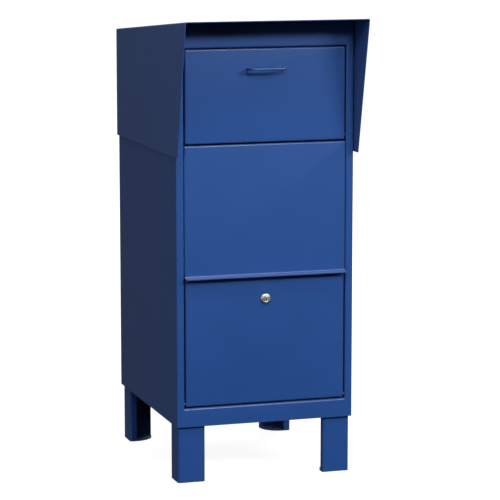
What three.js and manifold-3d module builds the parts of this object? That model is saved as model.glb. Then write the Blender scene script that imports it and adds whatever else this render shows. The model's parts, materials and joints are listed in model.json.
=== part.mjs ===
// A free-standing courier drop box in painted sheet steel, on four bent legs.
// Millimetres, +Z up. The box faces -Y. The origin is on the ground, under the middle of the object.
// Inside each function, x is measured from the middle of the box, y runs back from the plane of its
// front face, and z is the height above the ground. The group at the end moves y to the origin.

import * as THREE from 'three';
import { mergeVertices } from 'three/addons/utils/BufferGeometryUtils.js';
import Module from 'manifold-3d';

const wasm = await Module();
wasm.setup();

// ---- Driving dimensions -----------------------------------------------------------------------

const WIDTH = 432;
const DEPTH = 520;
const CABINET_BOTTOM = 135;
const CABINET_TOP = 1072;
const SHEET = 1.5;
const GAP = 0.3;
const HALF = WIDTH / 2;
const INSIDE = HALF - SHEET - GAP;

const STILE = 18.5;
const RETURN_DEPTH = 15;
const OPENING = HALF - STILE;

const HOOD_SHEET = 1.9;
const HOOD_SIDE_GAP = 1.8;
const HOOD_FRONT_TOP = 1083;
const HOOD_REAR_TOP = 1032;
const HOOD_BOTTOM = 768;
const HOOD_OVERHANG_TOP = 96;
const HOOD_OVERHANG_BOTTOM = 24;
const HOOD_REAR = DEPTH + 6;
const ROOF_ANGLE = Math.atan2(HOOD_FRONT_TOP - HOOD_REAR_TOP, HOOD_REAR + HOOD_OVERHANG_TOP);

const RAIL_TOP = 178.5;
const HEADER_BOTTOM = 1016.7;
const SIDE_GAP = 3.5;
const PAN_DEPTH = 16;
const DOOR_WIDTH = 2 * (OPENING - SIDE_GAP);

const HOPPER = { bottom: 797.5, top: 1014, pivotY: 8, pivotZ: 808, trayReach: 200, wingReach: 187 };
const TRAY_SLOPE = THREE.MathUtils.degToRad(11.5);
const WING_FACE = 189.7;

const PANEL = { bottom: 488, top: 793, sideGap: 1.5, lipReach: 20, lipDrop: 2 };

const ACCESS = { bottom: 183, top: 482.5, pivotY: 4.5, pivotZ: 190 };
const STAY = { radius: 90, width: 16, face: 188.5, thickness: 3, tailAngle: -16 };

const LOCK_Z = 430;
const LOCK = { headRadius: 12.2, headHeight: 5, barrelRadius: 9.4, length: 20, boreRadius: 6.3 };
const CAM = { reach: 45, width: 16, thickness: 2.5 };
const STOP_FACE = 17.5;

const LEG = { width: 66, depth: 61, lip: 14, shortFlange: 17, sheet: 3, insetX: 4.5, insetY: 9 };
const LEG_BOLTS = [[22, 40], [46, 20]];
const ANCHOR_HOLE_RADIUS = 5.5;
const ANCHOR_HOLE = [36, 30];

const HANDLE = { z: 968, centres: 84, projection: 29, radius: 3.2, corner: 8 };

const BEND_STEPS = 4;
const ROUND_STEPS = 16;

// ---- Materials --------------------------------------------------------------------------------

const bluePaint = () => new THREE.MeshStandardMaterial({ color: 0x2b4a86, roughness: 0.42, metalness: 0 });
const nickel = () => new THREE.MeshStandardMaterial({ color: 0xb9b8b0, roughness: 0.25, metalness: 1 });
const zincPlate = () => new THREE.MeshStandardMaterial({ color: 0xa9adb0, roughness: 0.4, metalness: 1 });
const blackRubber = () => new THREE.MeshStandardMaterial({ color: 0x18181a, roughness: 0.85, metalness: 0 });

// ---- Solids -----------------------------------------------------------------------------------

function toSolid(geometry) {
  const bare = geometry.clone();
  bare.deleteAttribute('normal');
  bare.deleteAttribute('uv');
  const merged = mergeVertices(bare, 1e-4);
  const vertProperties = new Float32Array(merged.attributes.position.array);
  const triVerts = new Uint32Array(merged.index.array);
  return new wasm.Manifold(new wasm.Mesh({ numProp: 3, vertProperties, triVerts }));
}

function toGeometry(solid) {
  const mesh = solid.getMesh();
  const geometry = new THREE.BufferGeometry();
  geometry.setAttribute('position', new THREE.BufferAttribute(new Float32Array(mesh.vertProperties), 3));
  geometry.setIndex(new THREE.BufferAttribute(new Uint32Array(mesh.triVerts), 1));
  geometry.computeVertexNormals();
  return geometry;
}

function join(first, ...others) {
  return toGeometry(others.reduce((solid, other) => solid.add(toSolid(other)), toSolid(first)));
}

function cut(first, ...tools) {
  return toGeometry(tools.reduce((solid, tool) => solid.subtract(toSolid(tool)), toSolid(first)));
}

function common(first, second) {
  return toGeometry(toSolid(first).intersect(toSolid(second)));
}

function block(x, y, z) {
  const geometry = new THREE.BoxGeometry(x[1] - x[0], y[1] - y[0], z[1] - z[0]);
  return geometry.translate((x[0] + x[1]) / 2, (y[0] + y[1]) / 2, (z[0] + z[1]) / 2);
}

// Round bars along each axis, from one coordinate to another.
function barX(radius, x, y, z) {
  const geometry = new THREE.CylinderGeometry(radius, radius, Math.abs(x[1] - x[0]), ROUND_STEPS);
  return geometry.rotateZ(Math.PI / 2).translate((x[0] + x[1]) / 2, y, z);
}

function barY(radius, x, y, z) {
  const geometry = new THREE.CylinderGeometry(radius, radius, y[1] - y[0], ROUND_STEPS);
  return geometry.translate(x, (y[0] + y[1]) / 2, z);
}

function barZ(radius, x, y, z, steps = ROUND_STEPS) {
  const geometry = new THREE.CylinderGeometry(radius, radius, z[1] - z[0], steps);
  return geometry.rotateX(Math.PI / 2).translate(x, y, (z[0] + z[1]) / 2);
}

// A shape in the (y, z) plane pulled along x, one in (x, z) pulled along y, and one in (x, y) along z.
function pullX(shape, x) {
  const geometry = new THREE.ExtrudeGeometry(shape, { depth: x[1] - x[0], bevelEnabled: false });
  const turn = new THREE.Matrix4().makeBasis(
    new THREE.Vector3(0, 1, 0), new THREE.Vector3(0, 0, 1), new THREE.Vector3(1, 0, 0));
  return geometry.applyMatrix4(turn).translate(x[0], 0, 0);
}

function pullY(shape, y) {
  const geometry = new THREE.ExtrudeGeometry(shape, { depth: y[1] - y[0], bevelEnabled: false });
  return geometry.rotateX(Math.PI / 2).translate(0, y[1], 0);
}

function pullZ(shape, z) {
  const geometry = new THREE.ExtrudeGeometry(shape, { depth: z[1] - z[0], bevelEnabled: false });
  return geometry.translate(0, 0, z[0]);
}

function polygon(points) {
  return new THREE.Shape(points.map(([a, b]) => new THREE.Vector2(a, b)));
}

// The section of a bent sheet: a line through the middle of its thickness, with a round bend at
// each corner, thickened to both sides.
function sheetSection(points, thickness, insideRadius = 2) {
  const middle = points.map(([a, b]) => new THREE.Vector2(a, b));
  const left = [];
  const right = [];
  const offset = (point, direction, side) => point.clone().add(
    new THREE.Vector2(-direction.y, direction.x).multiplyScalar((side * thickness) / 2));
  const first = middle[1].clone().sub(middle[0]).normalize();
  left.push(offset(middle[0], first, 1));
  right.push(offset(middle[0], first, -1));
  for (let i = 1; i < middle.length - 1; i += 1) {
    const into = middle[i].clone().sub(middle[i - 1]).normalize();
    const away = middle[i + 1].clone().sub(middle[i]).normalize();
    const turn = Math.atan2(into.cross(away), into.dot(away));
    const middleRadius = insideRadius + thickness / 2;
    const start = middle[i].clone().addScaledVector(into, -middleRadius * Math.tan(Math.abs(turn) / 2));
    const side = Math.sign(turn);
    const centre = start.clone().add(new THREE.Vector2(-into.y, into.x).multiplyScalar(side * middleRadius));
    for (let step = 0; step <= BEND_STEPS; step += 1) {
      const spoke = start.clone().sub(centre).rotateAround(new THREE.Vector2(), (turn * step) / BEND_STEPS);
      spoke.normalize();
      left.push(centre.clone().addScaledVector(spoke, middleRadius - (side * thickness) / 2));
      right.push(centre.clone().addScaledVector(spoke, middleRadius + (side * thickness) / 2));
    }
  }
  const last = middle[middle.length - 1].clone().sub(middle[middle.length - 2]).normalize();
  left.push(offset(middle[middle.length - 1], last, 1));
  right.push(offset(middle[middle.length - 1], last, -1));
  return new THREE.Shape([...right, ...left.reverse()]);
}

// A shallow sheet pan: its face looks towards -Y, and its four flanges run back. The face spans x
// and z, and its front edges are rounded bends.
function pan(x, z, depth, edgeRadius = 3) {
  const shell = (inset, radius, front) => {
    const outline = polygon([
      [x[0] + inset, z[0] + inset], [x[1] - inset, z[0] + inset],
      [x[1] - inset, z[1] - inset], [x[0] + inset, z[1] - inset]]);
    const geometry = new THREE.ExtrudeGeometry(outline, {
      depth: 2 * depth, bevelSize: radius, bevelOffset: -radius, bevelThickness: radius, bevelSegments: 3,
    });
    return geometry.rotateX(Math.PI / 2).translate(0, front + radius + 2 * depth, 0);
  };
  const outer = shell(0, edgeRadius, 0);
  const inner = shell(SHEET, edgeRadius - SHEET, SHEET);
  const behind = block([x[0] - 1, x[1] + 1], [depth, 4 * depth], [z[0] - 1, z[1] + 1]);
  return cut(outer, inner, behind);
}

function hexagon(acrossFlats) {
  const radius = acrossFlats / Math.sqrt(3);
  const corners = [0, 1, 2, 3, 4, 5].map((i) => [
    radius * Math.cos((i * Math.PI) / 3), radius * Math.sin((i * Math.PI) / 3)]);
  return polygon(corners);
}

function mirrorX(geometry) {
  const turned = geometry.clone().applyMatrix4(new THREE.Matrix4().makeScale(-1, 1, 1));
  const index = turned.index.array;
  for (let i = 0; i < index.length; i += 3) {
    [index[i + 1], index[i + 2]] = [index[i + 2], index[i + 1]];
  }
  turned.computeVertexNormals();
  return turned;
}

// ---- Cabinet ----------------------------------------------------------------------------------

const roofDrop = (y) => y * Math.tan(ROOF_ANGLE);
const PIN_HOLE_RADIUS = 2.8;
const STUD_PLACES = [[90, 800], [440, 800]];
const STUD_HOLE_RADIUS = 3.4;
const PANEL_SCREW_HEIGHTS = [530, 750];
const SCREW_HOLE_RADIUS = 2.8;

// One sheet makes the side, the front stile and its inward return. Its top edge follows the roof.
function leftSidePanel() {
  const middle = SHEET / 2;
  const section = sheetSection([
    [-HALF + middle, DEPTH],
    [-HALF + middle, middle],
    [-OPENING - middle, middle],
    [-OPENING - middle, RETURN_DEPTH]], SHEET);
  const sheet = pullZ(section, [CABINET_BOTTOM, CABINET_TOP]);
  const above = pullX(polygon([
    [0, CABINET_TOP], [DEPTH + 10, CABINET_TOP - roofDrop(DEPTH + 10)],
    [DEPTH + 10, CABINET_TOP + 10], [0, CABINET_TOP + 10]]), [-HALF - 1, 0]);
  const holes = [
    ...STUD_PLACES.map(([y, z]) => barX(STUD_HOLE_RADIUS, [-HALF - 2, -HALF + 4], y, z)),
    ...PANEL_SCREW_HEIGHTS.map((z) => barX(SCREW_HOLE_RADIUS, [-OPENING - 4, -OPENING + 2], 9, z)),
    barX(PIN_HOLE_RADIUS, [-OPENING - 4, -OPENING + 2], HOPPER.pivotY, HOPPER.pivotZ),
    barX(PIN_HOLE_RADIUS, [-OPENING - 4, -OPENING + 2], ACCESS.pivotY, ACCESS.pivotZ),
  ];
  return cut(sheet, above, ...holes);
}

// The header closes the front above the hopper. Its lower return ends in a stop lip behind the door.
function headerRail() {
  const middle = SHEET / 2;
  const section = sheetSection([
    [middle, CABINET_TOP],
    [middle, HEADER_BOTTOM + middle],
    [STOP_FACE + middle, HEADER_BOTTOM + middle],
    [STOP_FACE + middle, HEADER_BOTTOM - 12]], SHEET);
  return pullX(section, [-OPENING + GAP, OPENING - GAP]);
}

function bottomRail() {
  const middle = SHEET / 2;
  const flangeEnd = 26;
  const section = sheetSection([
    [middle, CABINET_BOTTOM],
    [middle, RAIL_TOP - middle],
    [flangeEnd, RAIL_TOP - middle],
    [flangeEnd, RAIL_TOP - 14]], SHEET, 2.5);
  return pullX(section, [-OPENING + GAP, OPENING - GAP]);
}

const FLOOR_FLANGE = 25;
const ROOF_FLANGE = 15;

function backPanel() {
  const middle = SHEET / 2;
  const flange = 16;
  const rearFlangeTop = CABINET_TOP - roofDrop(DEPTH) - ROOF_FLANGE;
  const section = sheetSection([
    [-INSIDE + middle, DEPTH - flange],
    [-INSIDE + middle, DEPTH - middle],
    [INSIDE - middle, DEPTH - middle],
    [INSIDE - middle, DEPTH - flange]], SHEET);
  const channel = pullZ(section, [CABINET_BOTTOM + FLOOR_FLANGE + 4, rearFlangeTop - 6]);
  const topEdge = CABINET_TOP - roofDrop(DEPTH);
  const plate = block([-INSIDE + 3, INSIDE - 3], [DEPTH - SHEET, DEPTH], [CABINET_BOTTOM, topEdge]);
  return join(channel, plate);
}

// The inner roof falls to the back below the hood. Its front and rear flanges hang down.
function topPanel() {
  const middle = SHEET / 2;
  const front = SHEET + GAP + middle;
  const back = DEPTH - SHEET - GAP - middle;
  const roof = (y) => CABINET_TOP - 1 - roofDrop(y) - middle;
  const section = sheetSection([
    [front, roof(front) - ROOF_FLANGE],
    [front, roof(front)],
    [back, roof(back)],
    [back, roof(back) - ROOF_FLANGE]], SHEET);
  const sheet = pullX(section, [-INSIDE, INSIDE]);
  return cut(sheet, ...stileNotches(CABINET_TOP - 60, CABINET_TOP + 5));
}

function floorPan() {
  const middle = SHEET / 2;
  const front = SHEET + GAP + middle;
  const back = DEPTH - SHEET - GAP - middle;
  const plate = CABINET_BOTTOM + GAP + middle;
  const section = sheetSection([
    [front, plate + FLOOR_FLANGE],
    [front, plate],
    [back, plate],
    [back, plate + FLOOR_FLANGE]], SHEET);
  const sheet = pullX(section, [-INSIDE, INSIDE]);
  const holes = legPlaces().flatMap(({ side, end }) => LEG_BOLTS.map((place) => {
    const [x, y] = legPoint(side, end, place);
    return barZ(4.4, x, y, [CABINET_BOTTOM - 2, CABINET_BOTTOM + 6]);
  }));
  return cut(sheet, ...stileNotches(CABINET_BOTTOM - 1, CABINET_BOTTOM + 40), ...holes);
}

// Room at the front corners for the stiles and their returns.
function stileNotches(bottom, top) {
  const inner = OPENING - GAP;
  const notch = block([inner, HALF + 1], [-1, RETURN_DEPTH + 1], [bottom, top]);
  return [notch, notch.clone().translate(-inner - HALF - 1, 0, 0)];
}

// The fixed panel between the doors. Its lower edge is folded out as a drip lip over the door below.
function middlePanel() {
  const middle = SHEET / 2;
  const half = OPENING - PANEL.sideGap;
  const body = cut(
    pan([-half, half], [PANEL.bottom - 30, PANEL.top], PAN_DEPTH),
    block([-half - 1, half + 1], [-1, PAN_DEPTH + 1], [PANEL.bottom - 31, PANEL.bottom + 8]));
  const bendHeight = PANEL.bottom - SHEET / 2;
  const lipSection = sheetSection([
    [middle, PANEL.bottom + 12],
    [middle, bendHeight],
    [-PANEL.lipReach, bendHeight - PANEL.lipDrop]], SHEET, 1);
  const lip = pullX(lipSection, [-half, half]);
  const corners = [-1, 1].map((side) => pullZ(polygon([
    [side * (half - 3), -PANEL.lipReach - 1],
    [side * (half + 1), -PANEL.lipReach - 1],
    [side * (half + 1), -PANEL.lipReach + 3]]), [PANEL.bottom - 20, PANEL.bottom + 10]));
  const holes = [-1, 1].flatMap((side) => PANEL_SCREW_HEIGHTS.map((z) => (
    barX(SCREW_HOLE_RADIUS, [side * (half - 3), side * (half + 3)], 9, z))));
  return cut(join(body, lip), ...corners, ...holes);
}

// A cross rail behind the upper edge of the access door: the door's stop and the cam's catch.
function lockRail() {
  const middle = SHEET / 2;
  const section = sheetSection([
    [STOP_FACE + middle, 462],
    [STOP_FACE + middle, 500 - middle],
    [38, 500 - middle]], SHEET);
  return pullX(section, [-INSIDE, INSIDE]);
}

const BAFFLE = { y: 216, lipZ: 926, lipFront: 168, lipHalf: 184 };

// A guard behind the hopper. It keeps hands out of the compartment and stops the open tray.
function fishingBaffle() {
  const middle = SHEET / 2;
  const top = CABINET_TOP - 1 - roofDrop(BAFFLE.y) - SHEET - 1;
  const section = sheetSection([
    [BAFFLE.y + middle, top],
    [BAFFLE.y + middle, BAFFLE.lipZ - middle],
    [BAFFLE.lipFront, BAFFLE.lipZ - middle]], SHEET);
  const sheet = pullX(section, [-INSIDE, INSIDE]);
  const corner = block([BAFFLE.lipHalf, HALF], [BAFFLE.lipFront - 1, BAFFLE.y - 4],
    [BAFFLE.lipZ - 10, BAFFLE.lipZ + 10]);
  return cut(sheet, corner, corner.clone().translate(-BAFFLE.lipHalf - HALF, 0, 0));
}

// ---- Hood -------------------------------------------------------------------------------------

const HOOD_HALF = HALF + HOOD_SIDE_GAP + HOOD_SHEET;

// A sloping roof with two deep sides, cut back to a slanting front edge. Four welded studs stand on
// the inner faces of the sides.
function hood() {
  const middle = HOOD_SHEET / 2;
  const section = sheetSection([
    [-HOOD_HALF + middle, -450],
    [-HOOD_HALF + middle, -middle],
    [HOOD_HALF - middle, -middle],
    [HOOD_HALF - middle, -450]], HOOD_SHEET, 1.6);
  const channel = pullY(section, [-60, 760]);
  channel.rotateX(-ROOF_ANGLE);
  channel.translate(0, -HOOD_OVERHANG_TOP, HOOD_FRONT_TOP);
  const outline = polygon([
    [-HOOD_OVERHANG_BOTTOM, HOOD_BOTTOM],
    [HOOD_REAR, HOOD_BOTTOM],
    [HOOD_REAR, HOOD_FRONT_TOP + 20],
    [-HOOD_OVERHANG_TOP - 20 * (HOOD_OVERHANG_TOP - HOOD_OVERHANG_BOTTOM)
      / (HOOD_FRONT_TOP - HOOD_BOTTOM), HOOD_FRONT_TOP + 20]]);
  const shell = common(channel, pullX(outline, [-HOOD_HALF - 5, HOOD_HALF + 5]));
  const studs = [-1, 1].flatMap((side) => STUD_PLACES.map(([y, z]) => (
    barX(3, [side * (HOOD_HALF - HOOD_SHEET / 2), side * (HALF - 10)], y, z))));
  return join(shell, ...studs);
}

// A flange nut on each hood stud, inside the cabinet.
function hoodNut(side, y, z) {
  const face = side * (INSIDE - GAP);
  const nut = pullX(hexagon(10), [0, 5]);
  const flange = barX(7, [5, 6.5], 0, 0);
  const body = cut(join(nut, flange), barX(3.25, [-1, 8], 0, 0));
  body.translate(-6.5, 0, 0);
  const facing = side > 0 ? body : mirrorX(body);
  return facing.translate(face, y, z);
}

// ---- Hopper -----------------------------------------------------------------------------------

const HANDLE_SCREW_RADIUS = 1.6;

function hopperDoor() {
  const half = DOOR_WIDTH / 2;
  const holes = [-1, 1].flatMap((side) => [
    barX(PIN_HOLE_RADIUS, [side * (half - 3), side * (half + 3)], HOPPER.pivotY, HOPPER.pivotZ),
    barY(HANDLE_SCREW_RADIUS + GAP, (side * HANDLE.centres) / 2, [-2, 4], HANDLE.z),
  ]);
  return cut(pan([-half, half], [HOPPER.bottom, HOPPER.top], PAN_DEPTH), ...holes);
}

const TRAY_TIP = {
  y: HOPPER.pivotY + HOPPER.trayReach * Math.cos(TRAY_SLOPE),
  z: HOPPER.pivotZ - HOPPER.trayReach * Math.sin(TRAY_SLOPE),
};

// The sheet that parcels lie on. It falls to the back when the door is shut, and rises behind the
// parcel when the door is pulled down.
function hopperTray() {
  const face = SHEET + GAP + SHEET / 2;
  const section = sheetSection([
    [face, HOPPER.bottom + 34],
    [face, HOPPER.bottom + 3.2],
    [18, HOPPER.bottom + 3.2],
    [TRAY_TIP.y, TRAY_TIP.z],
    [TRAY_TIP.y - 1.5, TRAY_TIP.z - 9]], SHEET, 1);
  const half = WING_FACE - SHEET - GAP;
  return pullX(section, [-half, half]);
}

// A quadrant at each end of the tray, with a flange on the inside of the door.
function hopperWing(side) {
  const front = SHEET + GAP;
  const arcStart = Math.acos((front - HOPPER.pivotY) / HOPPER.wingReach);
  const shape = new THREE.Shape();
  shape.moveTo(front, HOPPER.bottom + 4);
  shape.lineTo(4, HOPPER.bottom + 2);
  shape.lineTo(18, HOPPER.bottom + 2);
  shape.lineTo(HOPPER.pivotY + HOPPER.wingReach * Math.cos(TRAY_SLOPE),
    HOPPER.pivotZ - HOPPER.wingReach * Math.sin(TRAY_SLOPE) - 1);
  for (let step = 1; step <= 20; step += 1) {
    const angle = -TRAY_SLOPE + ((arcStart + TRAY_SLOPE) * step) / 20;
    shape.lineTo(HOPPER.pivotY + HOPPER.wingReach * Math.cos(angle),
      HOPPER.pivotZ + HOPPER.wingReach * Math.sin(angle));
  }
  const plate = pullX(shape, [WING_FACE - SHEET, WING_FACE]);
  const flange = block([WING_FACE - 13, WING_FACE], [front, front + SHEET], [HOPPER.bottom + 40, 985]);
  const hole = barX(PIN_HOLE_RADIUS, [WING_FACE - 3, WING_FACE + 3], HOPPER.pivotY, HOPPER.pivotZ);
  const wing = cut(join(plate, flange), hole);
  return side > 0 ? wing : mirrorX(wing);
}

// A round wire pull with its two ends square to the door, tapped for screws from inside.
function pullHandle() {
  const half = HANDLE.centres / 2;
  const out = -HANDLE.projection;
  const face = -GAP;
  const corner = HANDLE.corner;
  const at = (x, y) => new THREE.Vector3(x, y, HANDLE.z);
  const path = new THREE.CurvePath();
  path.add(new THREE.LineCurve3(at(-half, face), at(-half, out + corner)));
  path.add(new THREE.QuadraticBezierCurve3(at(-half, out + corner), at(-half, out), at(-half + corner, out)));
  path.add(new THREE.LineCurve3(at(-half + corner, out), at(half - corner, out)));
  path.add(new THREE.QuadraticBezierCurve3(at(half - corner, out), at(half, out), at(half, out + corner)));
  path.add(new THREE.LineCurve3(at(half, out + corner), at(half, face)));
  const wire = new THREE.Shape();
  wire.absarc(0, 0, HANDLE.radius, 0, 2 * Math.PI);
  const bar = new THREE.ExtrudeGeometry(wire, { steps: 28, curveSegments: 6, extrudePath: path });
  const taps = [-1, 1].map((side) => (
    barY(HANDLE_SCREW_RADIUS + GAP, side * half, [-11, 2], HANDLE.z)));
  return cut(bar, ...taps);
}

function handleScrew(side) {
  const x = (side * HANDLE.centres) / 2;
  const head = barY(4, x, [SHEET + GAP, SHEET + GAP + 2.6], HANDLE.z);
  const shank = barY(HANDLE_SCREW_RADIUS, x, [-10, SHEET + GAP + 1], HANDLE.z);
  const slot = block([x - 5, x + 5], [SHEET + GAP + 1.6, SHEET + GAP + 4], [HANDLE.z - 0.5, HANDLE.z + 0.5]);
  return cut(join(head, shank), slot);
}

// ---- Pivot pins -------------------------------------------------------------------------------

// A shoulder pin through the stile's return and the parts that turn on it, headed at both ends.
function pivotPin(side, y, z, innerEnd, headRadius) {
  const shank = barX(2.4, [innerEnd - 1, OPENING + SHEET + 1], y, z);
  const outer = barX(headRadius, [OPENING + SHEET + GAP, OPENING + SHEET + GAP + 2], y, z);
  const inner = barX(headRadius, [innerEnd - 2, innerEnd], y, z);
  const pin = join(shank, outer, inner);
  return side > 0 ? pin : mirrorX(pin);
}

const hopperPin = (side) => (
  pivotPin(side, HOPPER.pivotY, HOPPER.pivotZ, WING_FACE - SHEET - GAP, 3.8));
const accessPin = (side) => (
  pivotPin(side, ACCESS.pivotY, ACCESS.pivotZ, DOOR_WIDTH / 2 - 2 * SHEET - GAP, 2.8));

// ---- Access door and its lock -----------------------------------------------------------------

function accessDoor() {
  const half = DOOR_WIDTH / 2;
  const pins = [-1, 1].map((side) => (
    barX(2.7, [side * (half - 3), side * (half + 3)], ACCESS.pivotY, ACCESS.pivotZ)));
  const lockHole = barY(LOCK.barrelRadius + GAP, 0, [-2, 5], LOCK_Z);
  return cut(pan([-half, half], [ACCESS.bottom, ACCESS.top], PAN_DEPTH), lockHole, ...pins);
}

// A quadrant arm on each side of the door. Its hooked tail meets the stile's return when the door
// lies open.
function doorStay(side) {
  const front = SHEET + GAP;
  const inner = STAY.radius - STAY.width / 2;
  const outer = STAY.radius + STAY.width / 2;
  const tail = THREE.MathUtils.degToRad(STAY.tailAngle);
  const startAngle = Math.acos((front - ACCESS.pivotY) / STAY.radius);
  const points = [];
  for (let step = 0; step <= 18; step += 1) {
    const angle = tail + ((startAngle - tail) * step) / 18;
    points.push([ACCESS.pivotY + outer * Math.cos(angle), ACCESS.pivotZ + outer * Math.sin(angle)]);
  }
  for (let step = 18; step >= 0; step -= 1) {
    const angle = tail + ((startAngle - tail) * step) / 18;
    points.push([ACCESS.pivotY + inner * Math.cos(angle), ACCESS.pivotZ + inner * Math.sin(angle)]);
  }
  const arm = pullX(polygon(points), [STAY.face - STAY.thickness, STAY.face]);
  const trimmed = cut(arm, block([0, HALF], [-20, front], [0, 600]));
  const footMiddle = ACCESS.pivotZ + STAY.radius;
  const foot = block([STAY.face - 20, STAY.face], [front, front + STAY.thickness],
    [footMiddle - 20, footMiddle + 20]);
  const hook = block([STAY.face - STAY.thickness, 204], [inner, outer], [0, STAY.thickness]);
  hook.rotateX(tail).translate(0, ACCESS.pivotY, ACCESS.pivotZ);
  const stay = join(trimmed, foot, hook);
  return side > 0 ? stay : mirrorX(stay);
}

function lathe(profile) {
  const points = profile.map(([radius, along]) => new THREE.Vector2(radius, along));
  return new THREE.LatheGeometry(points, ROUND_STEPS);
}

// The lock's case: a round head on the face of the door and a threaded barrel through it. A lathe
// turns about y, so its profiles run from the front of the lock to the back.
function lockHousing() {
  const head = LOCK.headRadius;
  const body = lathe([
    [LOCK.boreRadius, -LOCK.headHeight],
    [head - 3, -LOCK.headHeight],
    [head - 0.9, -LOCK.headHeight + 1],
    [head, -LOCK.headHeight + 3],
    [head, -GAP],
    [LOCK.barrelRadius, -GAP],
    [LOCK.barrelRadius, LOCK.length],
    [LOCK.boreRadius, LOCK.length],
    [LOCK.boreRadius, -LOCK.headHeight]]);
  return body.translate(0, 0, LOCK_Z);
}

function lockPlug() {
  const body = barY(LOCK.boreRadius - GAP, 0, [-LOCK.headHeight - 0.4, LOCK.length], LOCK_Z);
  const front = -LOCK.headHeight - 1;
  const keyway = block([-1, 1], [front, front + 9], [LOCK_Z - 4.4, LOCK_Z + 3.2]);
  const tap = barY(2.3, 0, [LOCK.length - 9, LOCK.length + 1], LOCK_Z);
  return cut(body, keyway, tap);
}

function lockNut() {
  const nut = pullY(hexagon(24), [SHEET + GAP, SHEET + GAP + 5]);
  nut.translate(0, 0, LOCK_Z);
  return cut(nut, barY(LOCK.barrelRadius + GAP, 0, [0, 10], LOCK_Z));
}

// The cam points to one side while the lock is open. A quarter turn lifts it behind the cross rail.
function lockCam() {
  const shape = new THREE.Shape();
  const half = CAM.width / 2;
  shape.absarc(0, 0, half, -Math.PI / 2, Math.PI / 2);
  shape.lineTo(-CAM.reach + half, half);
  shape.absarc(-CAM.reach + half, 0, half, Math.PI / 2, (3 * Math.PI) / 2);
  const start = LOCK.length + GAP;
  const cam = pullY(shape, [start, start + CAM.thickness]).translate(0, 0, LOCK_Z);
  return cut(cam, barY(2.3, 0, [start - 1, start + 4], LOCK_Z));
}

function camScrew() {
  const seat = LOCK.length + 2 * GAP + CAM.thickness;
  const head = barY(4.5, 0, [seat, seat + 2.6], LOCK_Z);
  const shank = barY(2, 0, [LOCK.length - 8, seat + 1], LOCK_Z);
  const slot = block([-6, 6], [seat + 1.6, seat + 4], [LOCK_Z - 0.5, LOCK_Z + 0.5]);
  return cut(join(head, shank), slot);
}

// ---- Legs -------------------------------------------------------------------------------------

function legPlaces() {
  return [
    { name: 'front_left', side: -1, end: -1 },
    { name: 'front_right', side: 1, end: -1 },
    { name: 'rear_left', side: -1, end: 1 },
    { name: 'rear_right', side: 1, end: 1 }];
}

// A point given from a leg's outer corner, in box coordinates. Side is -1 at the left and 1 at the
// right; end is -1 at the front and 1 at the rear.
function legPoint(side, end, [inward, along]) {
  const x = side * (HALF - LEG.insetX - inward);
  const y = end < 0 ? LEG.insetY + along : DEPTH - LEG.insetY - along;
  return [x, y];
}

// The outline of a leg's foot and top plates: square at the outer corner, and a quarter ellipse
// between the ends of the two flanges.
function legPlate() {
  const corner = 5;
  const shape = new THREE.Shape();
  shape.moveTo(corner, 0);
  shape.lineTo(LEG.width - corner, 0);
  shape.absarc(LEG.width - corner, corner, corner, -Math.PI / 2, 0);
  shape.lineTo(LEG.width, LEG.lip);
  shape.absellipse(LEG.shortFlange, LEG.lip, LEG.width - LEG.shortFlange, LEG.depth - LEG.lip, 0, Math.PI / 2);
  shape.lineTo(corner, LEG.depth);
  shape.absarc(corner, LEG.depth - corner, corner, Math.PI / 2, Math.PI);
  shape.lineTo(0, corner);
  shape.absarc(corner, corner, corner, Math.PI, (3 * Math.PI) / 2);
  return shape;
}

// One bent sheet: a wide flange with a small return, a side web and a narrow flange, with a foot
// plate below and a bolting plate above.
function leg() {
  const middle = LEG.sheet / 2;
  const height = CABINET_BOTTOM - GAP;
  const section = sheetSection([
    [LEG.width - middle, LEG.lip],
    [LEG.width - middle, middle],
    [middle, middle],
    [middle, LEG.depth - middle],
    [LEG.shortFlange, LEG.depth - middle]], LEG.sheet);
  const wall = pullZ(section, [0, height]);
  const plate = new THREE.ExtrudeGeometry(legPlate(), {
    depth: LEG.sheet, bevelEnabled: false, curveSegments: BEND_STEPS,
  });
  const topPlate = plate.clone().translate(0, 0, height - LEG.sheet);
  const nuts = LEG_BOLTS.map(([x, y]) => (
    barZ(7.5, x, y, [height - LEG.sheet - 6, height - LEG.sheet + 1], 6)));
  const holes = LEG_BOLTS.map(([x, y]) => barZ(4.4, x, y, [height - 14, height + 1]));
  const anchor = barZ(ANCHOR_HOLE_RADIUS, ...ANCHOR_HOLE, [-1, LEG.sheet + 1]);
  return cut(join(wall, plate, topPlate, ...nuts), ...holes, anchor);
}

// The same two bent shapes serve diagonally opposite corners.
function placedLeg(side, end) {
  const geometry = leg();
  const turned = side * end > 0 ? geometry : mirrorX(geometry);
  if (end > 0) {
    turned.rotateZ(Math.PI);
  }
  const [x, y] = legPoint(side, end, [0, 0]);
  return turned.translate(x, y, 0);
}

// A hexagon bolt with a washer face, put in from inside the cabinet.
function legBolt(side, end, place) {
  const [x, y] = legPoint(side, end, place);
  const seat = CABINET_BOTTOM + 2 * GAP + SHEET;
  const head = pullZ(hexagon(13), [seat + 1.4, seat + 6.5]);
  const washer = barZ(8, 0, 0, [seat, seat + 1.5]);
  const shank = barZ(4, 0, 0, [seat - 18, seat + 1]);
  return join(head, washer, shank).translate(x, y, 0);
}

// ---- Small parts ------------------------------------------------------------------------------

function panelScrew(side, z) {
  const y = 9;
  const seat = OPENING - PANEL.sideGap - SHEET - GAP;
  const head = barX(4.6, [seat - 2.8, seat], y, z);
  const shank = barX(2.5, [seat - 1, OPENING + 6], y, z);
  const slot = block([seat - 4, seat - 1.8], [y - 0.5, y + 0.5], [z - 6, z + 6]);
  const screw = cut(join(head, shank), slot);
  return side > 0 ? screw : mirrorX(screw);
}

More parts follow.
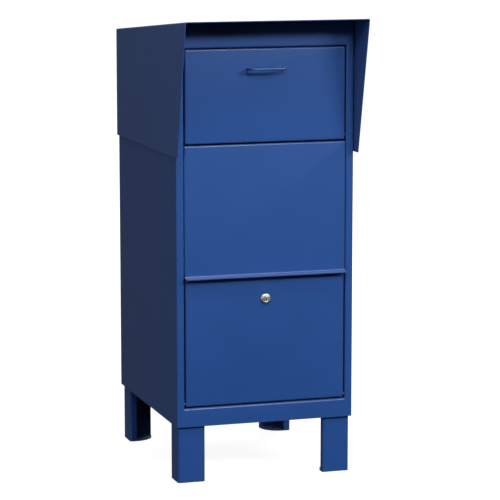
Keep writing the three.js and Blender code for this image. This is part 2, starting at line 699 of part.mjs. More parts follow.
// Rubber pads: one pair quietens each door against its stop, one pair meets the open tray.
const doorPad = (side, z) => (
  block([side * 120 - 10, side * 120 + 10], [PAN_DEPTH + GAP, STOP_FACE - GAP], [z - 4, z + 4]));
const trayPad = (side) => (
  barZ(8, side * 120, BAFFLE.lipFront + 11, [BAFFLE.lipZ - SHEET - GAP - 3, BAFFLE.lipZ - SHEET - GAP]));

// ---- Assembly ---------------------------------------------------------------------------------

const box = new THREE.Group();
box.position.y = (HOOD_OVERHANG_TOP - HOOD_REAR) / 2;

function addPiece(name, geometry, material) {
  const mesh = new THREE.Mesh(geometry, material);
  mesh.name = name;
  box.add(mesh);
}

const sides = [['left', -1], ['right', 1]];

addPiece('left_side_panel', leftSidePanel(), bluePaint());
addPiece('right_side_panel', mirrorX(leftSidePanel()), bluePaint());
addPiece('header_rail', headerRail(), bluePaint());
addPiece('bottom_rail', bottomRail(), bluePaint());
addPiece('back_panel', backPanel(), bluePaint());
addPiece('inner_roof', topPanel(), bluePaint());
addPiece('floor_pan', floorPan(), bluePaint());
addPiece('middle_panel', middlePanel(), bluePaint());
addPiece('lock_rail', lockRail(), bluePaint());
addPiece('fishing_baffle', fishingBaffle(), bluePaint());
addPiece('hood', hood(), bluePaint());

for (const { name, side, end } of legPlaces()) {
  addPiece(`${name}_leg`, placedLeg(side, end), bluePaint());
  LEG_BOLTS.forEach((place, i) => {
    addPiece(`${name}_leg_bolt_${i + 1}`, legBolt(side, end, place), zincPlate());
  });
}

addPiece('hopper_door', hopperDoor(), bluePaint());
addPiece('hopper_tray', hopperTray(), bluePaint());
addPiece('pull_handle', pullHandle(), bluePaint());

addPiece('access_door', accessDoor(), bluePaint());
addPiece('lock_housing', lockHousing(), nickel());
addPiece('lock_nut', lockNut(), zincPlate());
addPiece('lock_plug', lockPlug(), nickel());
addPiece('lock_cam', lockCam(), zincPlate());
addPiece('cam_screw', camScrew(), zincPlate());

for (const [word, side] of sides) {
  addPiece(`hopper_${word}_wing`, hopperWing(side), bluePaint());
  addPiece(`handle_screw_${word}`, handleScrew(side), zincPlate());
  addPiece(`hopper_pin_${word}`, hopperPin(side), bluePaint());
  addPiece(`access_pin_${word}`, accessPin(side), bluePaint());
  addPiece(`door_stay_${word}`, doorStay(side), bluePaint());
  addPiece(`hopper_pad_${word}`, doorPad(side, HOPPER.top - 3), blackRubber());
  addPiece(`access_pad_${word}`, doorPad(side, ACCESS.top - 3), blackRubber());
  addPiece(`tray_pad_${word}`, trayPad(side), blackRubber());
  PANEL_SCREW_HEIGHTS.forEach((z, i) => {
    addPiece(`panel_screw_${word}_${i + 1}`, panelScrew(side, z), zincPlate());
  });
  STUD_PLACES.forEach(([y, z], i) => {
    addPiece(`hood_nut_${word}_${i + 1}`, hoodNut(side, y, z), zincPlate());
  });
}

const group = new THREE.Group();
group.add(box);

export default group;
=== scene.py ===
# Looks for a free-standing courier drop box: painted sheet steel, four bent legs, a sloping hood.
# The scene is in metres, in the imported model's own frame. Inside the builders, sizes are in
# millimetres in cabinet coordinates: x from the middle, y back from the plane of the front face,
# z up from the ground.

import json
import math

import bmesh
import bpy
from mathutils import Matrix, Vector

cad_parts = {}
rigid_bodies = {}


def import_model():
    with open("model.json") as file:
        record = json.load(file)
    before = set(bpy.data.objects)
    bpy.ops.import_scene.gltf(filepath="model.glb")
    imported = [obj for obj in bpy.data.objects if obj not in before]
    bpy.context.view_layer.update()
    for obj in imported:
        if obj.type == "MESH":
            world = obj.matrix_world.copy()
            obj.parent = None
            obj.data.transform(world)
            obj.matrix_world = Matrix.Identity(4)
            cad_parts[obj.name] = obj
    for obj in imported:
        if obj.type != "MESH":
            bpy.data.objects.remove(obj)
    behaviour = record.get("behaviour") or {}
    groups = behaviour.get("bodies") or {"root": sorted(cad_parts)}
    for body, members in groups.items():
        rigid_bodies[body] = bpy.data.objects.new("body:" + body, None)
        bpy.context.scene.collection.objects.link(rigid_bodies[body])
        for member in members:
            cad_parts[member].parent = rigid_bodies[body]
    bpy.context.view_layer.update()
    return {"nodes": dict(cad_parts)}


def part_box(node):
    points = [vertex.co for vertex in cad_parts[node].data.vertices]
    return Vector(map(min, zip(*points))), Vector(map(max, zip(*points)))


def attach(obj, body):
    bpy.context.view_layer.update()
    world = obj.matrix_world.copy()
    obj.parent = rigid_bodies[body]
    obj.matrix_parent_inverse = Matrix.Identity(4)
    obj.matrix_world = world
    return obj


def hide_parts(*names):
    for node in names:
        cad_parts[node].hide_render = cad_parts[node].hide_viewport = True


for stray in list(bpy.data.objects):
    bpy.data.objects.remove(stray)

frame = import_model()

MM = 0.001
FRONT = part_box("left_side_panel")[0].y


def span(node):
    """A CAD node's box in cabinet millimetres: (x0, x1), (y0, y1), (z0, z1)."""
    low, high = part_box(node)
    return (
        (low.x / MM, high.x / MM),
        ((low.y - FRONT) / MM, (high.y - FRONT) / MM),
        (low.z / MM, high.z / MM),
    )


def axis_of(node):
    """Where the axis of a pin that lies across the cabinet stands: (y, z)."""
    _, y, z = span(node)
    return sum(y) / 2, sum(z) / 2


# ---- Dimensions that the boxes don't give --------------------------------------------------------

SHEET = 1.5
SHEET_BEND = 2.0
BEND_STEPS = 9
PAN_RADIUS = 3.0
PAST = 5.0  # how far a cutting tool reaches past the metal
DRILL_OUTSIDE = 2.0  # how far outside the side sheet's face a drill starts
DRILL_INSIDE = 4.0  # how far inside that face it ends

STILE_RETURN = 15.0
WELD_OVERLAP = 4.0  # how far the rails' plates run under the stiles
RAIL_END_OVERLAP = 0.8
HEADER_HEM = 12.0
BOTTOM_RAIL_HEM = 14.0
BOTTOM_RAIL_BEND = 2.5

DRIP_LIP_REACH = 20.0
DRIP_LIP_DROP = 2.0
DRIP_LIP_BEND = 3.0
DRIP_LIP_ROOT = 12.0  # height of the sheet that stands up from the lip's bend
LIP_JOIN = 8.0  # height above the lip at which its sheet becomes part of the pan
LIP_NOTCH_START = 0.8
LIP_SNIP = 3.0

HOOD_SHEET = 1.9
HOOD_BEND = 1.6
ROOF_FALL = 51.0
HOOD_LOWER_OVERHANG = 24.0

PIN_HOLE = 2.8
ACCESS_PIN_HOLE = 2.7
LOCK_HOLE = 9.7
HANDLE_SCREW_HOLE = 1.9
SCREW_HOLE = 2.8
PANEL_SCREW_DEPTH = 9.0
PANEL_SCREW_HEIGHTS = (530, 750)
STUD_HOLE = 3.4
STUD_RADIUS = 3.0
STUD_INSIDE = 10.0  # how far the studs reach into the cabinet
STUD_PLACES = ((90, 800), (440, 800))

side_x, side_y, side_z = span("left_side_panel")
HALF = -side_x[0]
OPENING = -side_x[1]
DEPTH = side_y[1]
CABINET_BOTTOM, CABINET_TOP = side_z

hood_x, hood_y, hood_z = span("hood")
HOOD_HALF = hood_x[1]
ROOF_ANGLE = math.atan2(ROOF_FALL, hood_y[1] - hood_y[0])
ROOF_SLOPE = math.tan(ROOF_ANGLE)


# ---- Mesh building -------------------------------------------------------------------------------


def place(point):
    """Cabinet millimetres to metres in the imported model's frame."""
    return Vector((point[0] * MM, point[1] * MM + FRONT, point[2] * MM))


def new_object(name, bm):
    mesh = bpy.data.meshes.new(name)
    bmesh.ops.recalc_face_normals(bm, faces=bm.faces)
    bm.to_mesh(mesh)
    bm.free()
    obj = bpy.data.objects.new(name, mesh)
    bpy.context.scene.collection.objects.link(obj)
    return obj


def loft(name, loops, close_ends=True, ring=False):
    """Skins between loops of equally many points. A ring joins its last loop to its first."""
    bm = bmesh.new()
    rows = [[bm.verts.new(place(p)) for p in loop] for loop in loops]
    pairs = list(zip(rows, rows[1:]))
    if ring:
        pairs.append((rows[-1], rows[0]))
    for one, two in pairs:
        count = len(one)
        for i in range(count):
            j = (i + 1) % count
            bm.faces.new((one[i], one[j], two[j], two[i]))
    if close_ends and not ring:
        bm.faces.new(rows[0])
        bm.faces.new(rows[-1])
    return new_object(name, bm)


def prism(outline, axis, ends, name="tool"):
    """A 2-D outline pulled along an axis. Outlines are (y, z) for x, (x, z) for y and (x, y) for z."""
    make = {
        "x": lambda a, b, c: (c, a, b),
        "y": lambda a, b, c: (a, c, b),
        "z": lambda a, b, c: (a, b, c),
    }[axis]
    return loft(name, [[make(a, b, end) for a, b in outline] for end in ends])


def block(x, y, z):
    return prism([(x[0], y[0]), (x[1], y[0]), (x[1], y[1]), (x[0], y[1])], "z", z)


def arc(centre, radii, start, sweep, steps):
    """Points along an arc or an ellipse's arc, both ends included. Angles are in degrees."""
    angles = [math.radians(start + sweep * i / steps) for i in range(steps + 1)]
    return [
        (centre[0] + radii[0] * math.cos(a), centre[1] + radii[1] * math.sin(a)) for a in angles]


def circle(radius, centre=(0, 0), steps=32):
    return arc(centre, (radius, radius), 0, 360, steps)[:-1]


def rod(radius, axis, ends, centre, steps=32):
    return prism(circle(radius, centre, steps), axis, ends)


def applied(obj):
    """Turns an object's modifiers into its mesh."""
    graph = bpy.context.evaluated_depsgraph_get()
    mesh = bpy.data.meshes.new_from_object(obj.evaluated_get(graph))
    obj.modifiers.clear()
    obj.data = mesh
    return obj


def boolean(target, tools, operation):
    for tool in tools:
        modifier = target.modifiers.new("solid", "BOOLEAN")
        modifier.operation = operation
        modifier.solver = "EXACT"
        modifier.object = tool
        applied(target)
        bpy.data.objects.remove(tool)
    return target


def cut(target, *tools):
    return boolean(target, tools, "DIFFERENCE")


def join(target, *tools):
    return boolean(target, tools, "UNION")


def common(target, *tools):
    return boolean(target, tools, "INTERSECT")


def mirrored(obj):
    """Turns a piece into its mirror image across the cabinet's middle plane."""
    obj.data.transform(Matrix.Diagonal((-1, 1, 1, 1)))
    obj.data.flip_normals()
    return obj


def sheet_section(points, thickness, inside_radius=SHEET_BEND, steps=BEND_STEPS):
    """The outline of a bent sheet from the line through the middle of its thickness."""
    middle = [Vector(p) for p in points]
    left, right = [], []

    def both(point, direction):
        normal = Vector((-direction.y, direction.x)) * thickness / 2
        left.append(point + normal)
        right.append(point - normal)

    both(middle[0], (middle[1] - middle[0]).normalized())
    for before, here, after in zip(middle, middle[1:], middle[2:]):
        into = (here - before).normalized()
        away = (after - here).normalized()
        turn = math.atan2(into.x * away.y - into.y * away.x, into.dot(away))
        side = math.copysign(1, turn)
        radius = inside_radius + thickness / 2
        start = here - into * radius * math.tan(abs(turn) / 2)
        centre = start + Vector((-into.y, into.x)) * side * radius
        for step in range(steps + 1):
            spoke = (start - centre).normalized()
            spoke.rotate(Matrix.Rotation(turn * step / steps, 2))
            left.append(centre + spoke * (radius - side * thickness / 2))
            right.append(centre + spoke * (radius + side * thickness / 2))
    both(middle[-1], (middle[-1] - middle[-2]).normalized())
    return [tuple(p) for p in right + left[::-1]]


def rounded_rectangle(x, z, radius, y, steps=5):
    points = []
    corners = ((x[1], z[0], -90), (x[1], z[1], 0), (x[0], z[1], 90), (x[0], z[0], 180))
    for corner_x, corner_z, start in corners:
        centre = (
            corner_x - math.copysign(radius, corner_x - sum(x) / 2),
            corner_z - math.copysign(radius, corner_z - sum(z) / 2),
        )
        points += [(px, y, pz) for px, pz in arc(centre, (radius, radius), start, 90, steps)]
    return points


def pan(name, x, z, depth):
    """A sheet pan that faces the front, with a round bend along its four edges and soft corners."""
    least_corner = 0.4

    def skin(inset, bend, front):
        """The pan's outer or inner surface, from the rim of the bend to the edge of the face."""
        loops = []
        for step in range(BEND_STEPS + 1):
            angle = math.pi / 2 * step / BEND_STEPS
            inward = inset + bend * (1 - math.cos(angle))
            loops.append(rounded_rectangle(
                (x[0] + inward, x[1] - inward),
                (z[0] + inward, z[1] - inward),
                max(PAN_RADIUS - inward, least_corner),
                front + bend * (1 - math.sin(angle))))
        return loops

    def at_depth(loop):
        return [(px, depth, pz) for px, _, pz in loop]

    outer = skin(0, PAN_RADIUS, 0)
    inner = skin(SHEET, PAN_RADIUS - SHEET, SHEET)
    return loft(name, outer[::-1] + [at_depth(outer[0]), at_depth(inner[0])] + inner)


def round_edges(obj, width, segments=2, limit=38):
    bevel = obj.modifiers.new("edges", "BEVEL")
    bevel.width = width * MM
    bevel.segments = segments
    bevel.limit_method = "ANGLE"
    bevel.angle_limit = math.radians(limit)
    bevel.harden_normals = True


def finish_edges(obj, width=0.3, segments=2, limit=38, smooth=32):
    """A small round along hard edges, and smooth shading across shallow ones."""
    round_edges(obj, width, segments, limit)
    for polygon in obj.data.polygons:
        polygon.use_smooth = True
    obj.data.set_sharp_from_angle(angle=math.radians(smooth))
    return obj


def keep(obj, body, slot, material, *nodes):
    """Gives a finished piece its material and body, and the CAD nodes that it replaces."""
    obj.data.materials.clear()
    obj.data.materials.append(material)
    for polygon in obj.data.polygons:
        polygon.material_index = 0
    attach(obj, body)
    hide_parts(*nodes)
    return obj


# ---- Materials -----------------------------------------------------------------------------------


def start_material(name):
    material = bpy.data.materials.new(name)
    material.use_nodes = True
    nodes = material.node_tree.nodes
    return material, nodes, material.node_tree.links, nodes["Principled BSDF"]


def noise(nodes, links, coordinates, scale, detail=2.0, roughness=0.5):
    node = nodes.new("ShaderNodeTexNoise")
    node.inputs["Scale"].default_value = scale
    node.inputs["Detail"].default_value = detail
    node.inputs["Roughness"].default_value = roughness
    links.new(coordinates, node.inputs["Vector"])
    return node.outputs["Fac"]


def ramp(nodes, links, source, stops):
    node = nodes.new("ShaderNodeValToRGB")
    elements = node.color_ramp.elements
    while len(elements) < len(stops):
        elements.new(0.5)
    for element, (position, colour) in zip(elements, stops):
        element.position = position
        element.color = (*colour, 1)
    links.new(source, node.inputs["Fac"])
    return node.outputs["Color"]


def mapped(nodes, links, source, start, end, low, high, curve="LINEAR"):
    """Maps the range from start to end to the range from low to high."""
    node = nodes.new("ShaderNodeMapRange")
    node.interpolation_type = curve
    node.inputs["From Min"].default_value = start
    node.inputs["From Max"].default_value = end
    node.inputs["To Min"].default_value = low
    node.inputs["To Max"].default_value = high
    links.new(source, node.inputs["Value"])
    return node.outputs["Result"]


def spread(nodes, links, source, low, high):
    """Maps noise, which lies mostly between 0.3 and 0.7, to a range."""
    return mapped(nodes, links, source, 0.3, 0.7, low, high)


def bump(nodes, links, height, strength, distance, normal=None):
    node = nodes.new("ShaderNodeBump")
    node.inputs["Strength"].default_value = strength
    node.inputs["Distance"].default_value = distance
    links.new(height, node.inputs["Height"])
    if normal is not None:
        links.new(normal, node.inputs["Normal"])
    return node.outputs["Normal"]


def calculated(nodes, links, operation, one, two):
    """A Math node. The second operand is an output or a number."""
    node = nodes.new("ShaderNodeMath")
    node.operation = operation
    links.new(one, node.inputs[0])
    if isinstance(two, (int, float)):
        node.inputs[1].default_value = two
    else:
        links.new(two, node.inputs[1])
    return node.outputs[0]


def object_position(nodes):
    return nodes.new("ShaderNodeTexCoord").outputs["Object"]


def upward(nodes, links):
    """1 on faces that look up, 0 on walls and on the bends between them."""
    parts = nodes.new("ShaderNodeSeparateXYZ")
    links.new(nodes.new("ShaderNodeNewGeometry").outputs["Normal"], parts.inputs[0])
    return mapped(nodes, links, parts.outputs["Z"], 0.93, 0.985, 0, 1, "SMOOTHSTEP")


PAINT_DEEP = (0.0151, 0.0689, 0.2660)
PAINT_LIGHT = (0.0161, 0.0727, 0.2790)
DUST = (0.20, 0.21, 0.22)
DUST_COVER = (0.02, 0.09)  # share of the paint's colour that the dust hides
DUST_DULLNESS = 0.42  # what the dust adds to the roughness
SEMI_GLOSS = (0.335, 0.365)
DULL = (0.66, 0.74)


def powder_coat(name, gloss_coat, haze, roughness=SEMI_GLOSS):
    """Paint with a fine orange peel. Faces that look up carry a dull film of dust.

    The haze is the pale bloom of weathered paint seen at a shallow angle.
    """
    material, nodes, links, shader = start_material(name)
    where = object_position(nodes)
    cloud = noise(nodes, links, where, scale=9, detail=3)
    colour = ramp(nodes, links, cloud, ((0.36, PAINT_DEEP), (0.64, PAINT_LIGHT)))
    settled = upward(nodes, links)
    speck = noise(nodes, links, where, scale=90, detail=4, roughness=0.6)
    cover = calculated(
        nodes, links, "MULTIPLY", settled, spread(nodes, links, speck, *DUST_COVER))
    dust = nodes.new("ShaderNodeMix")
    dust.data_type = "RGBA"
    links.new(cover, dust.inputs["Factor"])
    links.new(colour, dust.inputs["A"])
    dust.inputs["B"].default_value = (*DUST, 1)
    links.new(dust.outputs["Result"], shader.inputs["Base Color"])
    smear = noise(nodes, links, where, scale=60, detail=3)
    gloss = spread(nodes, links, smear, *roughness)
    dullness = calculated(nodes, links, "MULTIPLY", settled, DUST_DULLNESS)
    links.new(calculated(nodes, links, "ADD", gloss, dullness), shader.inputs["Roughness"])
    peel = noise(nodes, links, where, scale=420, detail=1.5)
    grain = noise(nodes, links, where, scale=2600, detail=1.0)
    rough = bump(nodes, links, peel, strength=0.16, distance=0.00035)
    fine = bump(nodes, links, grain, strength=0.05, distance=0.0001, normal=rough)
    links.new(fine, shader.inputs["Normal"])
    shader.inputs["Coat Weight"].default_value = gloss_coat
    shader.inputs["Coat Roughness"].default_value = 0.2
    shader.inputs["Sheen Weight"].default_value = haze
    return material


def metal(name, dark, light, roughness, scale, bump_strength):
    """Plated metal whose colour, gloss and surface vary together."""
    material, nodes, links, shader = start_material(name)
    mottle = noise(nodes, links, object_position(nodes), scale, detail=4)
    colour = ramp(nodes, links, mottle, ((0.35, dark), (0.65, light)))
    links.new(colour, shader.inputs["Base Color"])
    links.new(spread(nodes, links, mottle, *roughness), shader.inputs["Roughness"])
    links.new(bump(nodes, links, mottle, bump_strength, 0.0001), shader.inputs["Normal"])
    shader.inputs["Metallic"].default_value = 1.0
    return material


def black_rubber():
    material, nodes, links, shader = start_material("black_rubber")
    where = object_position(nodes)
    dust = noise(nodes, links, where, scale=120, detail=4)
    stops = ((0.35, (0.014, 0.014, 0.015)), (0.7, (0.032, 0.032, 0.034)))
    links.new(ramp(nodes, links, dust, stops), shader.inputs["Base Color"])
    links.new(spread(nodes, links, dust, 0.7, 0.9), shader.inputs["Roughness"])
    grain = noise(nodes, links, where, scale=1800)
    links.new(bump(nodes, links, grain, strength=0.3, distance=0.0002), shader.inputs["Normal"])
    return material


def floor_paper():
    """White paper lit mostly from below, as on a light table, so that shadows are faint.

    Farther off it glows as brightly as the backdrop, so that no horizon shows.
    """
    material, nodes, links, shader = start_material("studio_paper")
    where = object_position(nodes)
    fibre = noise(nodes, links, where, scale=300, detail=3)
    colour = ramp(nodes, links, fibre, ((0.3, (0.29, 0.29, 0.29)), (0.7, (0.31, 0.31, 0.31))))
    links.new(colour, shader.inputs["Base Color"])
    shader.inputs["Roughness"].default_value = 0.9
    shader.inputs["Specular IOR Level"].default_value = 0.0
    shader.inputs["Emission Color"].default_value = (1, 1, 1, 1)
    away = nodes.new("ShaderNodeVectorMath")
    away.operation = "LENGTH"
    links.new(where, away.inputs[0])
    glow = mapped(nodes, links, away.outputs["Value"], 1.2, 5.0, 0.90, 1.0, "SMOOTHSTEP")
    links.new(glow, shader.inputs["Emission Strength"])
    return material


paint = powder_coat("blue_powder_coat", gloss_coat=0.45, haze=0.04)
hood_paint = powder_coat("weathered_blue_powder_coat", gloss_coat=0.0, haze=0.09)
pin_paint = powder_coat("dull_blue_powder_coat", gloss_coat=0.0, haze=0.0, roughness=DULL)
nickel = metal("satin_nickel", (0.74, 0.73, 0.70), (0.84, 0.83, 0.79), (0.34, 0.42), 700, 0.05)
zinc = metal("zinc_plate", (0.46, 0.47, 0.49), (0.66, 0.66, 0.66), (0.30, 0.44), 500, 0.10)
rubber = black_rubber()


# ---- Cabinet -------------------------------------------------------------------------------------


def left_side():
    """The side sheet, bent round into the front stile and its inward return."""
    middle = SHEET / 2
    section = sheet_section(
        [
            (-HALF + middle, DEPTH),
            (-HALF + middle, middle),
            (-OPENING - middle, middle),
            (-OPENING - middle, STILE_RETURN),
        ],
        SHEET)
    side = prism(section, "z", (CABINET_BOTTOM, CABINET_TOP))
    front, back = -PAST, DEPTH + 2 * PAST
    above = prism(
        [
            (front, CABINET_TOP - front * ROOF_SLOPE),
            (back, CABINET_TOP - back * ROOF_SLOPE),
            (back, CABINET_TOP + 2 * PAST),
            (front, CABINET_TOP + 2 * PAST),
        ],
        "x", (-HALF - 1, 0))
    through_side = (-HALF - DRILL_OUTSIDE, -HALF + DRILL_INSIDE)
    through_return = (-OPENING - DRILL_INSIDE, -OPENING + DRILL_OUTSIDE)
    holes = [rod(STUD_HOLE, "x", through_side, spot) for spot in STUD_PLACES]
    for z in PANEL_SCREW_HEIGHTS:
        holes.append(rod(SCREW_HOLE, "x", through_return, (PANEL_SCREW_DEPTH, z)))
    for pin in ("hopper_pin_left", "access_pin_left"):
        holes.append(rod(PIN_HOLE, "x", through_return, axis_of(pin)))
    return cut(side, above, *holes)


def welded_front():
    """Both sides and both rails as one painted skin, as after welding and grinding."""
    middle = SHEET / 2
    _, (_, header_y), header_z = span("header_rail")
    _, (_, rail_y), rail_z = span("bottom_rail")
    header_turn = header_z[0] + HEADER_HEM
    rail_ends = (-OPENING - RAIL_END_OVERLAP, OPENING + RAIL_END_OVERLAP)
    plate_ends = (-OPENING - WELD_OVERLAP, OPENING + WELD_OVERLAP)
    header_plate = block(plate_ends, (0, SHEET), (header_turn + WELD_OVERLAP, header_z[1]))
    header = prism(
        sheet_section(
            [
                (middle, header_z[1]),
                (middle, header_turn + middle),
                (header_y - middle, header_turn + middle),
                (header_y - middle, header_z[0]),
            ],
            SHEET),
        "x", rail_ends)
    rail_plate = block(plate_ends, (0, SHEET), (rail_z[0], rail_z[1] - WELD_OVERLAP))
    rail = prism(
        sheet_section(
            [
                (middle, rail_z[0]),
                (middle, rail_z[1] - middle),
                (rail_y - middle, rail_z[1] - middle),
                (rail_y - middle, rail_z[1] - BOTTOM_RAIL_HEM),
            ],
            SHEET, BOTTOM_RAIL_BEND),
        "x", rail_ends)
    shell = left_side()
    shell.name = "cabinet_shell"
    right = mirrored(left_side())
    return join(shell, right, join(header, header_plate), join(rail, rail_plate))


keep(
    finish_edges(welded_front(), 0.25),
    "cabinet", "blue_paint", paint,
    "left_side_panel", "right_side_panel", "header_rail", "bottom_rail")


def lip_corner_tools(edge, side, bottom):
    """What is cut from one end of the lip: its sharp tip, and the square edge above the bend."""
    past = edge + side
    tip = prism(
        [
            (edge - side * LIP_SNIP, -DRIP_LIP_REACH - 1),
            (past, -DRIP_LIP_REACH - 1),
            (past, -DRIP_LIP_REACH + LIP_SNIP),
        ],
        "z", (bottom - DRIP_LIP_REACH, bottom + PAST))
    round_edge = [
        (edge - side * (PAN_RADIUS - along), across) for along, across in
        arc((0, PAN_RADIUS), (PAN_RADIUS, PAN_RADIUS), 0, -90, 6)
    ]
    notch = prism(
        [(past, -0.01), (past, PAN_RADIUS)] + round_edge[:-1] + [(edge - side * PAN_RADIUS, -0.01)],
        "z", (bottom + LIP_NOTCH_START, bottom + DRIP_LIP_ROOT + 1))
    return tip, notch


def middle_front():
    """A shallow pan whose lower edge is folded out as a drip lip."""
    middle = SHEET / 2
    (x0, x1), (_, y1), (z0, z1) = span("middle_panel")
    bottom = z0 + SHEET + DRIP_LIP_DROP
    lip_z = bottom - middle
    spare = bottom - 2 * DRIP_LIP_ROOT
    body = pan("middle_front", (x0, x1), (spare, z1), y1)
    cut(body, block((x0 - PAST, x1 + PAST), (-PAST, y1 + PAST), (spare - PAST, bottom + LIP_JOIN)))
    lip = prism(
        sheet_section(
            [
                (middle, bottom + DRIP_LIP_ROOT),
                (middle, lip_z),
                (-DRIP_LIP_REACH, lip_z - DRIP_LIP_DROP),
            ],
            SHEET, DRIP_LIP_BEND),
        "x", (x0, x1))
    for side in (-1, 1):
        cut(lip, *lip_corner_tools(side * x1, side, bottom))
    holes = [
        rod(SCREW_HOLE, "x", (side * (x1 - PAST), side * (x1 + PAST)), (PANEL_SCREW_DEPTH, z))
        for side in (-1, 1) for z in PANEL_SCREW_HEIGHTS
    ]
    return cut(join(body, lip), *holes)


keep(finish_edges(middle_front()), "cabinet", "blue_paint", paint, "middle_panel")


# ---- Hood ----------------------------------------------------------------------------------------


def hood_shell():
    """A bent channel, tilted to the roof's slope and trimmed to the hood's outline from the side."""
    middle = HOOD_SHEET / 2
    top = hood_z[1]
    depth = 1.5 * (top - hood_z[0])
    length = 1.2 * (hood_y[1] - hood_y[0])
    section = sheet_section(
        [
            (-HOOD_HALF + middle, -depth),
            (-HOOD_HALF + middle, -middle),
            (HOOD_HALF - middle, -middle),
            (HOOD_HALF - middle, -depth),
        ],
        HOOD_SHEET, HOOD_BEND)
    channel = prism(section, "y", (-length / 10, length), "hood_shell")
    pivot = Matrix.Translation(place((0, hood_y[0], top)))
    turn = Matrix.Rotation(-ROOF_ANGLE, 4, "X")
    channel.data.transform(pivot @ turn @ Matrix.Translation(-place((0, 0, 0))))
    slant = (-hood_y[0] - HOOD_LOWER_OVERHANG) / (top - hood_z[0])
    outline = prism(
        [
            (-HOOD_LOWER_OVERHANG, hood_z[0]),
            (hood_y[1], hood_z[0]),
            (hood_y[1], top + PAST),
            (hood_y[0] - PAST * slant, top + PAST),
        ],
        "x", (-HOOD_HALF - PAST, HOOD_HALF + PAST))
    common(channel, outline)
    studs = [
        rod(STUD_RADIUS, "x", (side * (HOOD_HALF - middle), side * (HALF - STUD_INSIDE)), spot)
        for side in (-1, 1) for spot in STUD_PLACES
    ]
    return join(channel, *studs)


keep(finish_edges(hood_shell(), 0.3), "cabinet", "blue_paint", hood_paint, "hood")


# ---- Doors ---------------------------------------------------------------------------------------

THROUGH_FACE = (-PAST, PAST)


def pin_holes(x, radius, pin):
    """Holes for the hinge pins through both side walls of a door."""
    return [
        rod(radius, "x", (side * (x[1] - PAST), side * (x[1] + PAST)), axis_of(pin))
        for side in (-1, 1)
    ]


def hopper_front():
    x, y, z = span("hopper_door")
    door = pan("hopper_front", x, z, y[1])
    handle_x, _, handle_z = span("pull_handle")
    wire_radius = (handle_z[1] - handle_z[0]) / 2
    holes = []
    for side, pin_hole in zip((-1, 1), pin_holes(x, PIN_HOLE, "hopper_pin_left")):
        screw_place = (side * (handle_x[1] - wire_radius), sum(handle_z) / 2)
        holes += [pin_hole, rod(HANDLE_SCREW_HOLE, "y", THROUGH_FACE, screw_place)]
    return cut(door, *holes)


def access_front():
    x, y, z = span("access_door")
    door = pan("access_front", x, z, y[1])
    lock_hole = rod(LOCK_HOLE, "y", THROUGH_FACE, (0, sum(span("lock_housing")[2]) / 2), 48)
    return cut(door, *pin_holes(x, ACCESS_PIN_HOLE, "access_pin_left"), lock_hole)


keep(finish_edges(hopper_front()), "hopper", "blue_paint", paint, "hopper_door")
keep(finish_edges(access_front()), "collection_door", "blue_paint", paint, "access_door")


HANDLE_BEND = 8.0
HANDLE_BEND_STEPS = 14
WIRE_STEPS = 36
WIRE_END_TAPER = 0.5
WIRE_END_TAPER_LENGTH = 0.6


def wire_pull():
    """A round wire bent square at both ends, standing on the door."""
    x, y, z = span("pull_handle")
    radius = (z[1] - z[0]) / 2
    height = sum(z) / 2
    half = x[1] - radius
    out = y[0] + radius
    straight = (0, -1)
    left = [
        ((-half, y[1]), straight),
        ((-half, y[1] - WIRE_END_TAPER_LENGTH), straight),
        ((-half, out + HANDLE_BEND), straight),
    ]
    for step in range(1, HANDLE_BEND_STEPS + 1):
        angle = math.pi / 2 * step / HANDLE_BEND_STEPS
        point = (
            -half + HANDLE_BEND * (1 - math.cos(angle)),
            out + HANDLE_BEND * (1 - math.sin(angle)),
        )
        left.append((point, (math.sin(angle), -math.cos(angle))))
    right = [((-px, py), (tx, -ty)) for (px, py), (tx, ty) in reversed(left)]
    path = left + right
    loops = []
    for index, ((px, py), (tx, ty)) in enumerate(path):
        at_end = index in (0, len(path) - 1)
        ring = circle(radius - (WIRE_END_TAPER if at_end else 0), steps=WIRE_STEPS)
        loops.append([(px - ty * a, py + tx * a, height + b) for a, b in ring])
    return loft("wire_pull", loops)


keep(finish_edges(wire_pull(), 0.1, 1, 60, 50), "hopper", "blue_paint", paint, "pull_handle")


# ---- Lock ----------------------------------------------------------------------------------------


lock_x, lock_y, lock_z = span("lock_housing")
LOCK_Z = sum(lock_z) / 2
LOCK_HEAD = lock_x[1]
LOCK_FRONT, LOCK_BACK = lock_y
LOCK_SEAT = 0.3  # gap between the head and the door
LOCK_BORE = 6.3
LOCK_FLAT = (1.0, 1.7)  # from the bore to the inner and outer edges of the head's flat rim
LOCK_DOME = 3.4
LOCK_BARREL = 9.4
THREAD_START = 2.0
THREAD_DEPTH = 0.55
THREAD_PITCH = 1.25
KEYWAY_DEPTH = 8.0
KEYWAY = (
    (-1.2, -4.8), (1.2, -4.8), (1.2, -2.4), (1.8, -2.0), (1.8, -0.6), (1.2, -0.2), (1.2, 2.8),
    (-1.2, 2.8), (-1.2, 1.4), (-0.6, 1.0), (-0.6, 0.0), (-1.2, -0.4))
PLUG_GROOVE = (4.95, 5.25)
PLUG_GROOVE_DEPTH = 0.25
PLUG_TAP_RADIUS = 2.3
PLUG_TAP_DEPTH = 9.0


def turned(name, profile, steps=64, ring=True):
    """A profile of (radius, y) turned about the lock's axis."""
    loops = [
        [(px, y, pz) for px, pz in circle(radius, (0, LOCK_Z), steps)]
        for radius, y in profile
    ]
    return loft(name, loops, close_ends=not ring, ring=ring)


def thread_profile():
    points = []
    y = THREAD_START
    while y + THREAD_PITCH < LOCK_BACK - 1:
        points += [
            (LOCK_BARREL - THREAD_DEPTH, y + 0.15 * THREAD_PITCH),
            (LOCK_BARREL, y + 0.5 * THREAD_PITCH),
            (LOCK_BARREL, y + 0.65 * THREAD_PITCH),
        ]
        y += THREAD_PITCH
    return points


